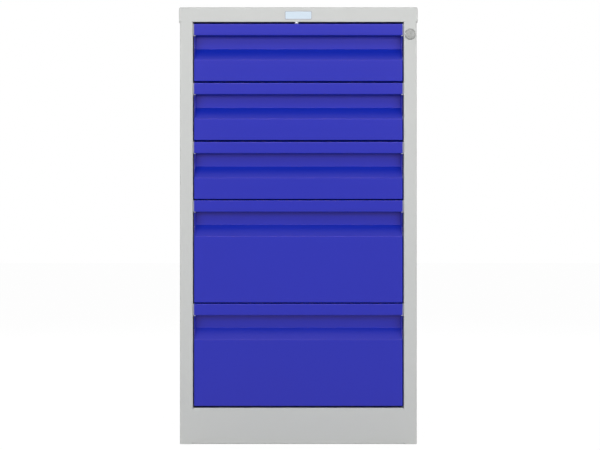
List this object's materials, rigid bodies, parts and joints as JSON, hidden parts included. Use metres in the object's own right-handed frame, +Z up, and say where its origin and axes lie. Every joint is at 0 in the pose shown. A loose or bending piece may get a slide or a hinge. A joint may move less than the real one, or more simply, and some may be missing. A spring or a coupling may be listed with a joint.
{
  "type": "tool pedestal cabinet",
  "caption": "Free-standing steel tool pedestal with blue drawers on telescopic slides, hooded full-width pulls and a central lock in its right post.",
  "frame": {"origin": "middle of the footprint, on the floor", "axes": "+Z up, the drawers open towards -Y, +X to the right as seen from the front"},
  "size_m": [0.454, 0.6022, 0.83],
  "materials": {
    "light_grey_paint": "satin light grey powder coat",
    "blue_paint": "satin ultramarine powder coat",
    "zinc": "bright zinc plating",
    "nickel": "satin nickel plating",
    "white_nylon": "moulded white nylon",
    "grey_nylon": "moulded grey nylon",
    "plate_metal": "satin anodised"
  },
  "bodies": {
    "cabinet": {"top_cover": "light_grey_paint", "side_panel_left": "light_grey_paint", "side_panel_right": "light_grey_paint", "back_panel": "light_grey_paint", "floor_panel": "light_grey_paint", "plinth_panel": "light_grey_paint", "rear_upright_left": "light_grey_paint", "rear_upright_right": "light_grey_paint", "badge_plate": "plate_metal", "top_buffer": "white_nylon", "lock_housing": "nickel", "lock_clip": "zinc", "bar_guide_upper": "grey_nylon", "bar_guide_lower": "grey_nylon", "slide_cabinet_member_left_1": "zinc", "slide_cabinet_member_left_2": "zinc", "slide_cabinet_member_left_3": "zinc", "slide_cabinet_member_left_4": "zinc", "slide_cabinet_member_left_5": "zinc", "slide_cabinet_member_right_1": "zinc", "slide_cabinet_member_right_2": "zinc", "slide_cabinet_member_right_3": "zinc", "slide_cabinet_member_right_4": "zinc", "slide_cabinet_member_right_5": "zinc"},
    "drawer_1": {"drawer_front_1": "blue_paint", "drawer_box_1": "light_grey_paint", "slide_drawer_member_left_1": "zinc", "slide_drawer_member_right_1": "zinc"},
    "drawer_2": {"drawer_front_2": "blue_paint", "drawer_box_2": "light_grey_paint", "slide_drawer_member_left_2": "zinc", "slide_drawer_member_right_2": "zinc"},
    "drawer_3": {"drawer_front_3": "blue_paint", "drawer_box_3": "light_grey_paint", "slide_drawer_member_left_3": "zinc", "slide_drawer_member_right_3": "zinc"},
    "drawer_4": {"drawer_front_4": "blue_paint", "drawer_box_4": "light_grey_paint", "slide_drawer_member_left_4": "zinc", "slide_drawer_member_right_4": "zinc"},
    "drawer_5": {"drawer_front_5": "blue_paint", "drawer_box_5": "light_grey_paint", "slide_drawer_member_left_5": "zinc", "slide_drawer_member_right_5": "zinc"},
    "middle_rails_1": {"slide_middle_member_left_1": "zinc", "slide_middle_member_right_1": "zinc"},
    "middle_rails_2": {"slide_middle_member_left_2": "zinc", "slide_middle_member_right_2": "zinc"},
    "middle_rails_3": {"slide_middle_member_left_3": "zinc", "slide_middle_member_right_3": "zinc"},
    "middle_rails_4": {"slide_middle_member_left_4": "zinc", "slide_middle_member_right_4": "zinc"},
    "middle_rails_5": {"slide_middle_member_left_5": "zinc", "slide_middle_member_right_5": "zinc"},
    "lock_barrel": {"lock_plug": "nickel", "lock_cam": "zinc"},
    "lock_bar": {"lock_bar": "zinc"}
  },
  "joints": [
    {"name": "drawer_1_slide", "type": "slide", "parent": "cabinet", "child": "drawer_1", "axis": [0, -1, 0], "range_m": [0, 0.525]},
    {"name": "drawer_2_slide", "type": "slide", "parent": "cabinet", "child": "drawer_2", "axis": [0, -1, 0], "range_m": [0, 0.525]},
    {"name": "drawer_3_slide", "type": "slide", "parent": "cabinet", "child": "drawer_3", "axis": [0, -1, 0], "range_m": [0, 0.525]},
    {"name": "drawer_4_slide", "type": "slide", "parent": "cabinet", "child": "drawer_4", "axis": [0, -1, 0], "range_m": [0, 0.525]},
    {"name": "drawer_5_slide", "type": "slide", "parent": "cabinet", "child": "drawer_5", "axis": [0, -1, 0], "range_m": [0, 0.525]},
    {"name": "middle_rails_1_slide", "type": "slide", "parent": "cabinet", "child": "middle_rails_1", "axis": [0, -1, 0], "range_m": [0, 0.2625]},
    {"name": "middle_rails_2_slide", "type": "slide", "parent": "cabinet", "child": "middle_rails_2", "axis": [0, -1, 0], "range_m": [0, 0.2625]},
    {"name": "middle_rails_3_slide", "type": "slide", "parent": "cabinet", "child": "middle_rails_3", "axis": [0, -1, 0], "range_m": [0, 0.2625]},
    {"name": "middle_rails_4_slide", "type": "slide", "parent": "cabinet", "child": "middle_rails_4", "axis": [0, -1, 0], "range_m": [0, 0.2625]},
    {"name": "middle_rails_5_slide", "type": "slide", "parent": "cabinet", "child": "middle_rails_5", "axis": [0, -1, 0], "range_m": [0, 0.2625]},
    {"name": "lock_turn", "type": "hinge", "parent": "cabinet", "child": "lock_barrel", "pos_m": [0.2125, -0.29885, 0.7784], "axis": [0, 1, 0], "range_deg": [0, 90]},
    {"name": "lock_bar_lift", "type": "slide", "parent": "cabinet", "child": "lock_bar", "axis": [0, 0, 1], "range_m": [0, 0.00919]}
  ],
  "couplings": [
    {"joint": "middle_rails_1_slide", "follows": "drawer_1_slide", "ratio": 0.5},
    {"joint": "middle_rails_2_slide", "follows": "drawer_2_slide", "ratio": 0.5},
    {"joint": "middle_rails_3_slide", "follows": "drawer_3_slide", "ratio": 0.5},
    {"joint": "middle_rails_4_slide", "follows": "drawer_4_slide", "ratio": 0.5},
    {"joint": "middle_rails_5_slide", "follows": "drawer_5_slide", "ratio": 0.5},
    {"joint": "lock_turn", "follows": "lock_bar_lift", "rad_per_m": 170.87}
  ]
}
